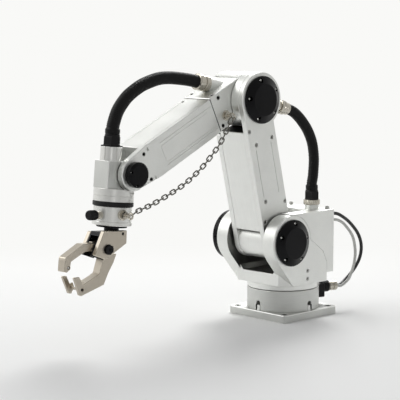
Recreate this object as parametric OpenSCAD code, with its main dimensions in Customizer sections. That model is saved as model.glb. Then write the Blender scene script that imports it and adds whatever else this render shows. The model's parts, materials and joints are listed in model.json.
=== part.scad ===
// Pneumatic manipulator arm: a bench-mounted jointed arm with a two-claw gripper.
// Millimetres, +Z up, origin at the centre of the base plate's underside,
// +X towards the reach of the arm, +Y towards the side with the black shoulder cover.

/* [Base] */
// Side of the square base plate
plate_side = 160; // [150:1:192]
// Thickness of the base plate
plate_t = 16; // [12:1:20]
// Corner radius of the base plate
plate_corner_r = 8; // [4:1:12]
// Hole-to-hole distance of the mounting bolts
bolt_spacing = 132; // [124:1:136]
// Radius of the mounting holes
bolt_hole_r = 4.5; // [3:0.5:5.5]
// Radius of the pedestal and the turntable
pedestal_r = 74.5; // [70:0.5:76]
// Height of the pedestal's top face
pedestal_top = 59; // [54:1:60]
// Open groove between pedestal and turntable
groove_h = 1.5; // [1:0.5:3]
// Radius of the spigot that the turntable turns on
spigot_r = 50; // [40:1:56]
// Length of that spigot inside the pedestal
spigot_len = 14; // [8:1:18]

/* [Turret] */
// Height of the turntable's top face
turntable_top = 73; // [70:1:76]
// Distance of the shoulder axis in front of the yaw axis
shoulder_x = 60; // [54:1:66]
// Height of the shoulder axis
shoulder_z = 163; // [158:1:180]
// Half the width of the shoulder yoke
yoke_half = 80; // [76:1:90]
// Thickness of each yoke ear
ear_t = 30; // [24:1:32]
// Radius of the yoke's ears
ear_r = 55; // [50:1:58]
// Front of the yoke's bridge
bridge_front = 76.5; // [74:0.5:80]
// Height of the bridge's top face
bridge_top = 97; // [90:1:100]
// Height of the rear housing's top face
housing_top = 220; // [214:1:226]
// Height of the rear housing's underside
housing_bottom = 90.5; // [86:0.5:94]
// Rear face of the rear housing
housing_rear = -66.5; // [-74:0.5:-62]
// Gap of the seam between yoke and housing
seam = 0.3; // [0.2:0.1:0.5]
// Radius of the near cover at the shoulder and at the elbow
cover_r = 47; // [44:0.5:50]
// Height of that cover
cover_h = 11; // [8:1:14]
// Radius of the far cap at the shoulder
cap_r = 51; // [47:1:54]
// Thickness of the far cap
cap_t = 20; // [14:1:24]

/* [Upper arm] */
// Forward lean of the upper arm at rest, in degrees
lean = 13.5; // [8:0.5:18]
// Distance along the upper arm from the shoulder to the elbow axis
upper_len = 292; // [260:1:350]
// Distance of the elbow axis behind the upper arm's middle line
elbow_back = 15; // [10:1:18]
// Half the width of the upper arm across its side plates
upper_half = 45; // [42:0.5:47]
// Thickness of the side plates
side_t = 12; // [9:0.5:14]
// Half the depth of the side plates, front to rear
side_depth = 39; // [36:0.5:42]
// Thickness of the front and rear panels
panel_t = 3.5; // [2.5:0.5:5]
// Radius of the elbow boss
boss_r = 54.5; // [52:0.5:57]
// Radius of the shoulder hub between the side plates
hub_r = 38; // [34:1:38.5]
// Radius of the shoulder shaft
shoulder_shaft_r = 20; // [16:1:24]
// Radius of the elbow shaft
elbow_shaft_r = 16; // [12:1:20]

/* [Forearm] */
// Drop of the forearm below level at rest, in degrees
drop = 25.5; // [20:0.5:30]
// Distance along the forearm from the elbow to the wrist axis
fore_len = 330; // [300:1:396]
// Width of the forearm
fore_w = 72; // [68:1:76]
// Middle plane of the forearm, from the arm's middle plane
fore_y = -23; // [-26:1:-22]
// Depth of the forearm beam
beam_h = 72; // [66:1:76]
// Distance of the beam's middle line above the elbow axis
beam_up = 15; // [12:1:18]
// Length of the elbow block in front of the elbow axis
block_len = 99; // [92:1:110]
// Thickness of the fork's ears at the wrist
fork_t = 14; // [11:0.5:15]
// Radius of the fork's ears
fork_r = 31; // [28:0.5:32]
// Radius of the wrist pin
wrist_pin_r = 9; // [6:0.5:11]
// Radius of the wrist cover
wrist_cover_r = 24; // [20:0.5:26]

/* [Wrist and gripper] */
// Forward tilt of the tool axis at rest, in degrees
tilt = 5.5; // [0:0.5:8]
// Distance of the tool axis in front of the wrist axis
tool_offset = 18; // [17:0.5:20]
// Distance of the hose tower in front of the wrist axis
tower_offset = 30.5; // [29:0.5:32]
// Width of the wrist block
wrist_w = 41; // [36:0.5:42]
// Radius of the silver ring and the seal
ring_r = 38; // [36:0.5:40]
// Radius of the tool barrel
barrel_r = 36; // [33:0.5:37]
// Width of the claws
claw_w = 20; // [14:0.5:20]
// Thickness of the gripper's cheeks
cheek_t = 10; // [8:0.5:14]
// Radius of the claws' pivot bolt
pivot_r = 5; // [4:0.5:7]

/* [Hoses and chain] */
// Diameter of the wrist hose
wrist_hose_d = 25; // [20:1:28]
// Diameter of the shoulder hose
shoulder_hose_d = 22; // [18:1:26]
// Diameter of the black supply cable
black_cable_d = 6; // [4:0.5:8]
// Diameter of the grey supply cable
grey_cable_d = 5; // [3:0.5:7]
// Outer width of the chain's links
chain_w = 9; // [7:0.5:11]

/* [Hidden] */
$fn = 96;

fit = 0.05;                     // radial clearance of a running fit
axial_gap = 1;                  // gap between faces that turn past each other
silver = "#c9cbcc";
black = "#1c1c1e";
nickel = "#b9b3a6";
steel = "#9a9a9a";

ear_in = yoke_half - ear_t;     // inner faces of the yoke's ears
fore_near = fore_y + fore_w / 2;
fore_far = fore_y - fore_w / 2;
boss_y = fore_near + axial_gap; // inner face of the elbow boss
hub_in = upper_half - side_t;   // inner faces of the side plates
fork_in = fore_w / 2 - fork_t;  // half the slot between the fork's ears
beam_low = beam_up - beam_h / 2;
beam_top = beam_up + beam_h / 2;
fore_hub_r = boss_r - 0.5;
block_top = beam_top + 2;
block_low = beam_low + 2;

// Elbow and wrist axes, worked out from the lengths and angles at rest.
elbow = [
  shoulder_x + upper_len * sin(lean) - elbow_back * cos(lean), 0,
  shoulder_z + upper_len * cos(lean) + elbow_back * sin(lean)
];
wrist = [
  elbow.x + fore_len * cos(drop) + beam_up * sin(drop), fore_y,
  elbow.z - fore_len * sin(drop) + beam_up * cos(drop)
];

// Heights on the tool axis, from the wrist axis down.
block_high = 23;
tower_high = 49;
gland_high = 73;
ring_high = -28;
ring_seam = -41;
seal_high = -52.5;
barrel_high = -61;
flange_high = -89.5;
flange_low = -96.5;
adapter_low = -100.5;
gripper_high = -109;
claw_pivot = [43, -140];

module upper_frame() {
  translate([shoulder_x, 0, shoulder_z]) rotate([0, lean, 0]) children();
}
module fore_frame() {
  translate(elbow) rotate([0, drop, 0]) children();
}
module tool_frame() {
  translate(wrist) rotate([0, -tilt, 0]) children();
}
// A point given in one of those frames, in the arm's own frame.
function upper_point(f, y, u) = [
  shoulder_x + f * cos(lean) + u * sin(lean), y, shoulder_z - f * sin(lean) + u * cos(lean)
];
function fore_point(a, y, v) = [
  elbow.x + a * cos(drop) + v * sin(drop), y, elbow.z - a * sin(drop) + v * cos(drop)
];
function tool_point(p, y, q) = [
  wrist.x + p * cos(tilt) - q * sin(tilt), wrist.y + y, wrist.z + p * sin(tilt) + q * cos(tilt)
];
// A cylinder along Y from y0 to y1, and an outline in X and Z drawn out along Y.
module ycyl(r, y0, y1, r2 = undef) {
  translate([0, y0, 0]) rotate([-90, 0, 0])
    cylinder(r1 = r, r2 = is_undef(r2) ? r : r2, h = y1 - y0);
}
module yext(y0, y1) {
  translate([0, y1, 0]) rotate([90, 0, 0]) linear_extrude(y1 - y0) children();
}
module disc_at(x, z, r) {
  translate([x, z]) circle(r = r);
}

// A tube swept along a list of points: a ring of n corners at each point.
function unit(v) = v / norm(v);
function way(p, i) = unit(p[min(i + 1, len(p) - 1)] - p[max(i - 1, 0)]);
function side(p, i, ref) = unit(cross(way(p, i), ref));
function ring(p, i, r, n, ref) = [
  for (k = [0 : n - 1])
    p[i] + r * cos(360 * k / n) * side(p, i, ref)
      + r * sin(360 * k / n) * cross(side(p, i, ref), way(p, i))
];
module tube(p, d, n, ref) {
  pts = [for (i = [0 : len(p) - 1]) each ring(p, i, d / 2, n, ref)];
  last = (len(p) - 1) * n;
  polyhedron(pts, concat(
    [[for (k = [0 : n - 1]) n - 1 - k]],
    [for (i = [0 : len(p) - 2], k = [0 : n - 1])
      [i * n + k, i * n + (k + 1) % n, (i + 1) * n + (k + 1) % n, (i + 1) * n + k]],
    [[for (k = [0 : n - 1]) last + k]]
  ));
}

// Where the lines end: on a gland, a fitting or an eye.
gland_x = -42;
gland_y = 40;
gland_h = 40;
port_y = 29.5;
port_dir = 104;
port_end = boss_r + 37;
function port_point(r) = [elbow.x - r * sin(port_dir), port_y, elbow.z + r * cos(port_dir)];
panel_t_rear = 4;
cable_gland_h = 8;
socket_at = [31, 41.5];
socket_rise = 11;
socket_len = 70;
socket_way = [cos(socket_rise), 0, sin(socket_rise)];
socket_end = fore_point(socket_at.x, fore_y, socket_at.y) + socket_len * socket_way;
tower_end = tool_point(tower_offset, 0, gland_high);
housing_end = [gland_x, gland_y, housing_top + gland_h];
panel_face = housing_rear - panel_t_rear - cable_gland_h;
connector_angle = 155;
connector_r = pedestal_r + 47;
connector_z = 47.5;
function plug_point(y, out) = [
  (connector_r + out) * cos(connector_angle) - y * sin(connector_angle),
  (connector_r + out) * sin(connector_angle) + y * cos(connector_angle), connector_z + 4
];
anchor = [74, 3];
anchor_eye = fore_point(anchor.x, fore_near + 19, anchor.y);
barrel_eye_at = [6, -75];
barrel_eye_out = 59;
lower_eye = tool_point(tool_offset + barrel_eye_at.x, barrel_eye_out, barrel_eye_at.y);
eye_r = 5.5;
eye_wire = 1.8;

// Routes, chosen by hand along each line from one end to the other.
seat = 0.1;                     // each line stops this far from what it ends on
wrist_hose_route = [
  tool_point(tower_offset, 0, gland_high + seat), tool_point(tower_offset, 0, gland_high + 14),
  [434, -23, 428], [427, -23, 441], [416, -23, 454], [404, -23, 465], [388, -23, 475],
  [370, -23, 484], [348, -23, 491], [325, -23, 496], [301, -23, 497], [275, -23, 495],
  socket_end + 20 * socket_way, socket_end + seat * socket_way
];
shoulder_hose_route = [
  port_point(port_end + seat), port_point(port_end + 9), [3, 30, 420], [-11, 30, 410],
  [-23, 30, 399], [-34, 31, 386], [-43, 32, 371], [-49, 33, 356], [-52, 34, 340],
  [-52, 36, 321], [-50, 37, 302], [-46, 39, 286], housing_end + [0, 0, 13], housing_end + [0, 0, seat]
];
black_cable_route = [
  [panel_face - seat, 50, 206], [-95, 50, 206], [-113, 50, 203], [-132, 50, 194],
  [-149, 49, 184], [-166, 49, 170], [-182, 48, 154], [-193, 47, 135], [-196, 46, 116],
  [-190, 46, 98], [-177, 46, 82], [-157, 47, 67], [-137, 49, 57], plug_point(4, 9),
  plug_point(4, seat)
];
grey_cable_route = [
  [panel_face - seat, 60, 194], [-93, 60, 194], [-108, 59, 190], [-122, 58, 183],
  [-136, 57, 172], [-149, 56, 160], [-159, 55, 146], [-165, 54, 130], [-167, 54, 114],
  [-165, 54, 98], [-159, 55, 84], [-148, 58, 71], [-135, 61, 61], plug_point(-4, 10),
  plug_point(-4, seat)
];
chain_route = [
  lower_eye + [-4.4, 0, 2.1], [433, 36, 257], [414, 36, 262], [391, 35, 268],
  [368, 35, 276], [345, 34, 284], [323, 34, 293], [296, 34, 307], [270, 33, 323],
  [253, 33, 336], [237, 33, 350], [222, 32, 363], [209, 32, 378], [198, 32, 394],
  [190, 32, 407], anchor_eye + [3, 0, -4.6]
];

// ---------------------------------------------------------------- base
module base_plate() {
  flat = plate_side / 2 - plate_corner_r;
  color(silver) difference() {
    linear_extrude(plate_t) union() {
      square([plate_side, 2 * flat], center = true);
      square([2 * flat, plate_side], center = true);
      for (sx = [-1, 1], sy = [-1, 1]) translate([sx * flat, sy * flat]) circle(r = plate_corner_r);
    }
    for (sx = [-1, 1], sy = [-1, 1])
      translate([sx * bolt_spacing / 2, sy * bolt_spacing / 2, -1])
        cylinder(r = bolt_hole_r, h = plate_t + 2);
  }
}

notch_w = 11;
notch_h = 20;
notch_in = pedestal_r - 13;
module pedestal() {
  color(silver) difference() {
    translate([0, 0, plate_t]) cylinder(r = pedestal_r, h = pedestal_top - plate_t, $fn = 144);
    translate([0, 0, pedestal_top - spigot_len - 0.5])
      cylinder(r = spigot_r + fit, h = spigot_len + 1);
    for (a = [0 : 90 : 270]) rotate(a) {
      translate([notch_in, -notch_w / 2, plate_t - 1]) cube([20, notch_w, notch_h - notch_w / 2 + 1]);
      translate([notch_in, 0, plate_t + notch_h - notch_w / 2]) rotate([0, 90, 0])
        cylinder(r = notch_w / 2, h = 20);
    }
  }
}
module connector_frame() {
  rotate(connector_angle) translate([pedestal_r - 1, 0, connector_z]) children();
}
module supply_connector() {
  color(black) difference() {
    connector_frame() union() {
      translate([0, -13, -17]) cube([16, 26, 28]);
      translate([15, 0, 4]) rotate([0, 90, 0]) cylinder(r = 11.5, h = 14);
    }
    translate([0, 0, connector_z - 30]) cylinder(r = pedestal_r, h = 60, $fn = 144);
  }
}
module supply_fitting() {
  color(nickel) connector_frame() translate([29, 0, 4]) rotate([0, 90, 0])
    cylinder(r = 10, h = connector_r - pedestal_r - 28);
}

// ---------------------------------------------------------------- turret
module turntable() {
  color(silver) union() {
    translate([0, 0, pedestal_top + groove_h])
      cylinder(r = pedestal_r, h = turntable_top - pedestal_top - groove_h, $fn = 144);
    translate([0, 0, pedestal_top - spigot_len]) cylinder(r = spigot_r, h = spigot_len + groove_h + 1);
  }
}

// The yoke's outline from the side: round ears whose straight flanks run down to the foot.
foot_front = 56;
foot_rear = -46;
flank = norm([shoulder_x - foot_front, shoulder_z - turntable_top]);
flank_turn = acos(ear_r / flank) + atan2(turntable_top - shoulder_z, foot_front - shoulder_x);
yoke_side = [
  [shoulder_x + ear_r * cos(flank_turn), shoulder_z + ear_r * sin(flank_turn)],
  [foot_front, turntable_top],
  [foot_rear, turntable_top],
  [foot_rear, shoulder_z - 51],
  [foot_rear + 12, shoulder_z - 27],
  [shoulder_x - ear_r, shoulder_z + 2],
  [shoulder_x, shoulder_z]
];
module yoke_outline() {
  union() {
    disc_at(shoulder_x, shoulder_z, ear_r);
    polygon(yoke_side);
  }
}
corner_in = yoke_half - (bridge_front - foot_front) * 1.1;
fillet = 9;
module shoulder_yoke() {
  color(silver) difference() {
    union() {
      yext(ear_in, yoke_half) yoke_outline();
      yext(-yoke_half, -ear_in) yoke_outline();
      translate([0, 0, turntable_top]) linear_extrude(bridge_top - turntable_top) polygon([
        [foot_rear, -yoke_half], [foot_front, -yoke_half], [bridge_front, -corner_in],
        [bridge_front, corner_in], [foot_front, yoke_half], [foot_rear, yoke_half]
      ]);
      for (s = [-1, 1]) mirror([0, s < 0 ? 1 : 0, 0])
        translate([foot_rear, 0, 0]) rotate([90, 0, 90]) linear_extrude(bridge_front - foot_rear)
          polygon([
            [ear_in - fillet, bridge_top - 1], [ear_in + 8, bridge_top - 1],
            [ear_in + 8, bridge_top + fillet], [ear_in, bridge_top + fillet]
          ]);
    }
    translate([shoulder_x, 0, shoulder_z]) ycyl(shoulder_shaft_r + fit, -yoke_half - 1, yoke_half + 1);
  }
}

// Room for the upper arm when it leans back between the housing's cheeks.
cavity_front = -20;
housing_front = shoulder_x;
module rear_housing() {
  color(silver) difference() {
    translate([housing_rear, -yoke_half, housing_bottom])
      cube([housing_front - housing_rear, 2 * yoke_half, housing_top - housing_bottom]);
    translate([cavity_front, -ear_in, housing_bottom - 1])
      cube([200, 2 * ear_in, 200]);
    yext(-yoke_half - 1, yoke_half + 1) union() {
      disc_at(shoulder_x, shoulder_z, ear_r + seam);
      polygon([for (q = yoke_side) q + seam * (q.x < shoulder_x ? [-1, 0] : [0, 0])]);
      translate([foot_rear - seam, turntable_top]) square([200, bridge_top - turntable_top + seam]);
      translate([shoulder_x - 20, turntable_top]) square([200, shoulder_z - turntable_top]);
    }
  }
}
module service_panel() {
  color(silver) union() {
    translate([housing_rear - panel_t_rear, -yoke_half + 8, housing_bottom + 8])
      cube([panel_t_rear, 2 * yoke_half - 16, housing_top - housing_bottom - 16]);
    for (c = [black_cable_route[0], grey_cable_route[0]])
      translate(c) rotate([0, 90, 0]) cylinder(r = 5.5, h = cable_gland_h + 1);
  }
}
cover_flat_r = cover_r - 13;
module cover(y, r, r_flat, h) {
  ycyl(r, y, y + h, r_flat);
}
module shoulder_cover() {
  color(black) translate([shoulder_x, 0, shoulder_z]) cover(yoke_half, cover_r, cover_flat_r, cover_h);
}
module shoulder_cap() {
  color(black) translate([shoulder_x, 0, shoulder_z]) union() {
    ycyl(cap_r, -yoke_half - cap_t + 3, -yoke_half);
    ycyl(cap_r - 4, -yoke_half - cap_t, -yoke_half - cap_t + 4, cap_r);
  }
}
gland_r = 16;
module housing_gland() {
  color(nickel) translate([gland_x, gland_y, housing_top]) union() {
    cylinder(r = gland_r - 1, h = 10);
    translate([0, 0, 9]) cylinder(r = gland_r + 1, h = 10);
    translate([0, 0, 18]) cylinder(r = gland_r - 1, h = gland_h - 18, $fn = 6);
  }
}
module black_cable() {
  color(black) tube(black_cable_route, black_cable_d, 10, [0, 1, 0]);
}
module grey_cable() {
  color("gray") tube(grey_cable_route, grey_cable_d, 10, [0, 1, 0]);
}

// ---------------------------------------------------------------- upper arm
module shoulder_hub() {
  color(silver) translate([shoulder_x, 0, shoulder_z]) union() {
    ycyl(hub_r, -hub_in, hub_in);
    ycyl(shoulder_shaft_r, -yoke_half + 0.5, yoke_half - 0.5);
  }
}
far_plate_top = upper_len - boss_r - 6;
panel_low = 32;
panel_high = upper_len - boss_r + 1;
module side_outline(top) {
  translate([-side_depth, 0]) square([2 * side_depth, top]);
  circle(r = side_depth + 0.4);
}
module side_plate_near() {
  color(silver) upper_frame() difference() {
    yext(hub_in, upper_half) union() {
      side_outline(upper_len - 40);
      disc_at(-elbow_back, upper_len, boss_r);
      polygon([
        [side_depth - 20, upper_len - 60], [side_depth, upper_len - 60],
        [side_depth, upper_len], [side_depth - 20, upper_len]
      ]);
    }
    ycyl(shoulder_shaft_r + fit, hub_in - 1, upper_half + 1);
  }
}
module side_plate_far() {
  color(silver) upper_frame() difference() {
    yext(-upper_half, -hub_in) side_outline(far_plate_top);
    ycyl(shoulder_shaft_r + fit, -upper_half - 1, -hub_in + 1);
  }
}
module front_panel() {
  color(silver) upper_frame() translate([side_depth - panel_t - 0.7, -hub_in, panel_low])
    cube([panel_t, 2 * hub_in, panel_high - panel_low]);
}
module back_panel() {
  color(silver) upper_frame() translate([-side_depth + 0.7, -hub_in, panel_low])
    cube([panel_t, 2 * hub_in, far_plate_top - 8 - panel_low]);
}
module elbow_boss() {
  color(silver) translate(elbow) union() {
    ycyl(boss_r, boss_y, hub_in);
    ycyl(elbow_shaft_r, fore_far + 0.5, boss_y + 1);
  }
}
module elbow_cover() {
  color(black) translate(elbow) cover(upper_half, cover_r, cover_flat_r, cover_h);
}
port_turn = -port_dir - lean;
module elbow_fitting() {
  color(nickel) upper_frame() translate([-elbow_back, port_y, upper_len]) rotate([0, port_turn, 0])
    difference() {
      union() {
        cylinder(r = 11.5, h = boss_r + 12);
        translate([0, 0, boss_r + 11]) cylinder(r = 14.5, h = 14);
        translate([0, 0, boss_r + 24]) cylinder(r = 12.5, h = port_end - boss_r - 24);
      }
      rotate([0, -port_turn, 0]) ycyl(boss_r, -60, 60);
    }
}
module shoulder_hose() {
  color(black) tube(shoulder_hose_route, shoulder_hose_d, 12, [0, 1, 0]);
}

// ---------------------------------------------------------------- forearm
module elbow_block() {
  color(silver) fore_frame() difference() {
    yext(fore_far, fore_near) union() {
      circle(r = fore_hub_r);
      polygon([[0, block_low], [block_len, block_low], [block_len, block_top], [0, block_top]]);
    }
    ycyl(elbow_shaft_r + fit, fore_far - 1, fore_near + 1);
    translate([8, fore_far + 6, block_top - 2.5]) cube([3, fore_w - 12, 6]);
  }
}
elbow_cap_h = 9;
module elbow_cap() {
  color(black) translate(elbow) ycyl(cover_r - 4, fore_far - elbow_cap_h, fore_far, cover_r);
}
fork_slot = fore_len - 38.5;
module forearm_beam() {
  color(silver) fore_frame() difference() {
    yext(fore_far, fore_near) union() {
      polygon([
        [block_len, beam_low], [fore_len - 60, beam_low], [fore_len - 2, beam_up - fork_r + 0.3],
        [fore_len, beam_up], [fore_len + 3, beam_up + fork_r - 0.3], [fore_len - 45, beam_top],
        [block_len, beam_top]
      ]);
      disc_at(fore_len, beam_up, fork_r);
    }
    translate([fork_slot, fore_y - fork_in, beam_low - 20]) cube([120, 2 * fork_in, beam_h + 60]);
    translate([fore_len, 0, beam_up]) ycyl(wrist_pin_r + fit, fore_far - 1, fore_near + 1);
    for (z = [beam_up - 24, beam_up + 23], s = [fore_near - 1, fore_far - 2])
      translate([block_len + 2, s, z]) cube([fore_len - block_len - 82, 3, 1.6]);
  }
}
socket_r = 15;
socket_ring = 42;
module socket_frame() {
  fore_frame() translate([socket_at.x, fore_y, socket_at.y])
    rotate([0, 90 - drop - socket_rise, 0]) children();
}
module hose_socket() {
  color(silver) difference() {
    socket_frame() translate([0, 0, -30]) cylinder(r = socket_r, h = socket_ring + 30);
    fore_frame() union() {
      ycyl(fore_hub_r, fore_far - 1, fore_near + 1);
      translate([0, fore_far - 1, -20]) cube([block_len, fore_w + 2, block_top + 20]);
    }
  }
}
module socket_fitting() {
  color(nickel) socket_frame() union() {
    translate([0, 0, socket_ring]) cylinder(r = 16.5, h = 12);
    translate([0, 0, socket_ring + 11]) cylinder(r = 15, h = 3);
    translate([0, 0, socket_ring + 13]) cylinder(r = 16.5, h = socket_len - socket_ring - 13);
  }
}
module ring_eye() {
  rotate([0, 90, 0]) rotate_extrude() translate([eye_r, 0]) circle(r = eye_wire);
}
module chain_anchor() {
  color(nickel) fore_frame() translate([anchor.x, fore_near, anchor.y]) union() {
    ycyl(10, 0, 2.5);
    ycyl(6.5, 2, 9);
    ycyl(3, 8, 14.5);
    translate([0, 19, 0]) ring_eye();
  }
}
wrist_cover_h = 15;
module wrist_cover() {
  color(black) fore_frame() translate([fore_len, 0, beam_up])
    ycyl(wrist_cover_r, fore_near, fore_near + wrist_cover_h, wrist_cover_r - 1.5);
}
module wrist_cap_far() {
  color(silver) fore_frame() translate([fore_len, 0, beam_up])
    ycyl(wrist_cover_r - 6, fore_far - 16, fore_far, wrist_cover_r + 2);
}
module wrist_hose() {
  color(black) tube(wrist_hose_route, wrist_hose_d, 12, [0, 1, 0]);
}
module chain() {
  color(nickel) tube(chain_route, chain_w, 8, [0, 0, 1]);
}

// ---------------------------------------------------------------- wrist
module axis_cyl(r, low, high) {
  translate([tool_offset, 0, low]) cylinder(r = r, h = high - low);
}
ear_clear_r = fork_r + 6;
module wrist_block() {
  color(silver) tool_frame() union() {
    translate([-14, -wrist_w / 2, ring_high - 6]) cube([66, wrist_w, block_high - ring_high + 6]);
    difference() {
      union() {
        axis_cyl(ring_r, ring_seam + 0.5, ring_high);
        axis_cyl(ring_r - 0.7, ring_seam - 0.6, ring_seam + 0.6);
        axis_cyl(ring_r, seal_high, ring_seam - 0.5);
      }
      for (s = [-1, 1]) mirror([0, s < 0 ? 1 : 0, 0]) ycyl(ear_clear_r, wrist_w / 2, 60);
    }
    translate([tower_offset, 0, block_high]) cylinder(r = 20.5, h = tower_high - block_high);
    ycyl(wrist_pin_r, 0.5 - fore_w / 2, fore_w / 2 - 0.5);
  }
}
module wrist_gland() {
  color(black) tool_frame() translate([tower_offset, 0, tower_high]) union() {
    cylinder(r = 17, h = 3);
    translate([0, 0, 3]) cylinder(r = 17, h = gland_high - tower_high - 3, $fn = 6);
  }
}
module wrist_seal() {
  color(black) tool_frame() axis_cyl(ring_r + 0.4, barrel_high, seal_high);
}
socket_bore = 18;
module tool_barrel() {
  color(silver) tool_frame() difference() {
    union() {
      axis_cyl(barrel_r, flange_high, barrel_high);
      axis_cyl(barrel_r + 1.5, flange_low, flange_high);
    }
    axis_cyl(socket_bore + fit, flange_low - 1, flange_low + 24);
  }
}
knob_z = -78;
knob_turn = 9;
module lock_knob() {
  color(black) tool_frame() translate([tool_offset, 0, knob_z]) rotate([0, 0, knob_turn])
    difference() {
      rotate([0, 90, 0]) union() {
        cylinder(r = 7.3, h = barrel_r + 13);
        translate([0, 0, barrel_r + 12.5]) cylinder(r = 9.4, h = 17.5);
      }
      translate([0, 0, -30]) cylinder(r = barrel_r, h = 60);
    }
}
module barrel_eye() {
  color(nickel) tool_frame() difference() {
    translate([tool_offset + barrel_eye_at.x, 0, barrel_eye_at.y]) union() {
      ycyl(10, 0, barrel_r + 3);
      ycyl(6.5, 0, barrel_r + 11);
      ycyl(3, 0, barrel_eye_out - 4.5);
      translate([0, barrel_eye_out, 0]) ring_eye();
    }
    axis_cyl(barrel_r, knob_z - 30, knob_z + 30);
  }
}

// ---------------------------------------------------------------- gripper
liner_t = 3.5;
claw_gap = 1;
liner_in = claw_w / 2 + claw_gap;
cheek_in = liner_in + liner_t;
near_high = -104.8;
function cheek_outline(high) = [
  [55, high - 1.2], [0, high], [-1, -129], [27, -146.5], [47.5, -158.4], [73.5, -151]
];
liner_outline = [
  [54, -110], [7, -110], [5, -129], [30, -149], [48, -161], [66, -163], [76, -155]
];
body_outline = [
  [6, gripper_high], [54, gripper_high], [58, -116], [42, -122.5], [12, -122.5], [6, -116]
];
bolt_turn = 12;
module tool_adapter() {
  color(black) tool_frame() union() {
    axis_cyl(29, adapter_low, flange_low - 0.5);
    axis_cyl(14, gripper_high, adapter_low);
    axis_cyl(socket_bore, adapter_low, flange_low + 22);
  }
}
module gripper_body() {
  color(black) tool_frame() difference() {
    union() {
      yext(-cheek_in, cheek_in) polygon(body_outline);
      for (y = [-cheek_in, liner_in]) yext(y, y + liner_t) polygon(liner_outline);
    }
    translate([claw_pivot.x, 0, claw_pivot.y]) ycyl(pivot_r, -60, 60);
  }
}
module cheek(y, high) {
  difference() {
    yext(y, y + cheek_t) polygon(cheek_outline(high));
    translate([claw_pivot.x, 0, claw_pivot.y]) ycyl(pivot_r, -60, 60);
  }
}
module cheek_near() {
  color(nickel) tool_frame() cheek(cheek_in, near_high);
}
module cheek_far() {
  color(nickel) tool_frame() cheek(-cheek_in - cheek_t, gripper_high);
}
module pivot_bolt() {
  bolt_out = cheek_in + cheek_t;
  color(black) tool_frame() translate([claw_pivot.x, 0, claw_pivot.y]) union() {
    ycyl(pivot_r - fit, -bolt_out - 1, bolt_out + 1);
    rotate([0, bolt_turn, 0]) {
      translate([0, bolt_out, 0]) rotate([-90, 0, 0]) cylinder(r = 10, h = 6, $fn = 6);
      translate([0, -bolt_out - 6, 0]) rotate([-90, 0, 0]) cylinder(r = 10, h = 6, $fn = 6);
    }
  }
}
claw_hub_r = 14;
rear_arm = [
  [30, -151], [9.5, -150], [15.3, -166.3], [26, -185], [35.4, -207.6], [74, -222], [79, -212],
  [79, -202.7], [56.3, -191.5], [48.5, -186.5], [42, -160], [40, -151]
];
near_jaw = [
  [70, -220.5], [87.4, -227], [93.4, -225.6], [108.5, -192.4], [94.7, -191.6], [84.1, -205.2],
  [70, -198.3]
];
far_jaw = [
  [109, -194], [97.9, -193.7], [88.8, -209], [82, -206], [78.3, -215], [84, -227.3],
  [91.5, -226.2]
];
jaw_t = 5;
far_jaw_y = -23.5;
jaw_pin = [86.6, -215.5];
front_arm = [
  [54, -142], [86, -145.5], [116.5, -163], [117.5, -171], [121, -180], [125, -182.7],
  [131, -181.8], [131, -163.8], [130.3, -155.7], [91, -131.2], [56.3, -129.5]
];
front_lug = [122, -174];
module claw_hub(low, high) {
  translate([claw_pivot.x, 0, claw_pivot.y]) ycyl(claw_hub_r, low, high);
}
module claw_bore() {
  translate([claw_pivot.x, 0, claw_pivot.y]) ycyl(pivot_r + fit, -60, 60);
}
lap = 0.4;
module rear_claw() {
  half = claw_w / 2;
  color(nickel) tool_frame() difference() {
    union() {
      difference() {
        yext(-half, half) polygon(rear_arm);
        translate([claw_pivot.x, 0, claw_pivot.y]) ycyl(claw_hub_r + 2, -half - 1, lap / 2);
      }
      claw_hub(lap / 2, half);
      yext(lap / 2, half) polygon([
        [claw_pivot.x - 13, claw_pivot.y - 2], claw_pivot, [43, -159], [28, -159]
      ]);
      yext(half - jaw_t, half) polygon(near_jaw);
      yext(far_jaw_y - jaw_t, far_jaw_y) polygon(far_jaw);
      translate([jaw_pin.x, 0, jaw_pin.y]) ycyl(2.5, far_jaw_y - 1, half - 1);
    }
    claw_bore();
  }
}
module front_claw() {
  half = claw_w / 2;
  color(nickel) tool_frame() difference() {
    union() {
      difference() {
        yext(-half, half) union() {
          polygon(front_arm);
          disc_at(front_lug.x, front_lug.y, 5.2);
        }
        translate([claw_pivot.x, 0, claw_pivot.y]) ycyl(claw_hub_r + 2, -lap / 2, half + 1);
      }
      claw_hub(-half, -lap / 2);
      yext(-half, -lap / 2) polygon([
        [claw_pivot.x, claw_pivot.y - 8], [62, -142.3], [62, -128.4], [claw_pivot.x, claw_pivot.y + 13]
      ]);
    }
    claw_bore();
  }
}

base_plate();
pedestal();
supply_connector();
supply_fitting();
turntable();
shoulder_yoke();
rear_housing();
service_panel();
shoulder_cover();
shoulder_cap();
housing_gland();
black_cable();
grey_cable();
shoulder_hub();
side_plate_near();
side_plate_far();
front_panel();
back_panel();
elbow_boss();
elbow_cover();
elbow_fitting();
shoulder_hose();
elbow_block();
elbow_cap();
forearm_beam();
hose_socket();
socket_fitting();
chain_anchor();
wrist_cover();
wrist_cap_far();
wrist_hose();
chain();
wrist_block();
wrist_gland();
wrist_seal();
tool_barrel();
lock_knob();
barrel_eye();
tool_adapter();
gripper_body();
cheek_near();
cheek_far();
pivot_bolt();
rear_claw();
front_claw();
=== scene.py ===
"""Finished look of a bench-mounted pneumatic manipulator arm with a two-claw gripper."""
import json
import math

import bmesh
import bpy
from mathutils import Matrix, Vector


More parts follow.
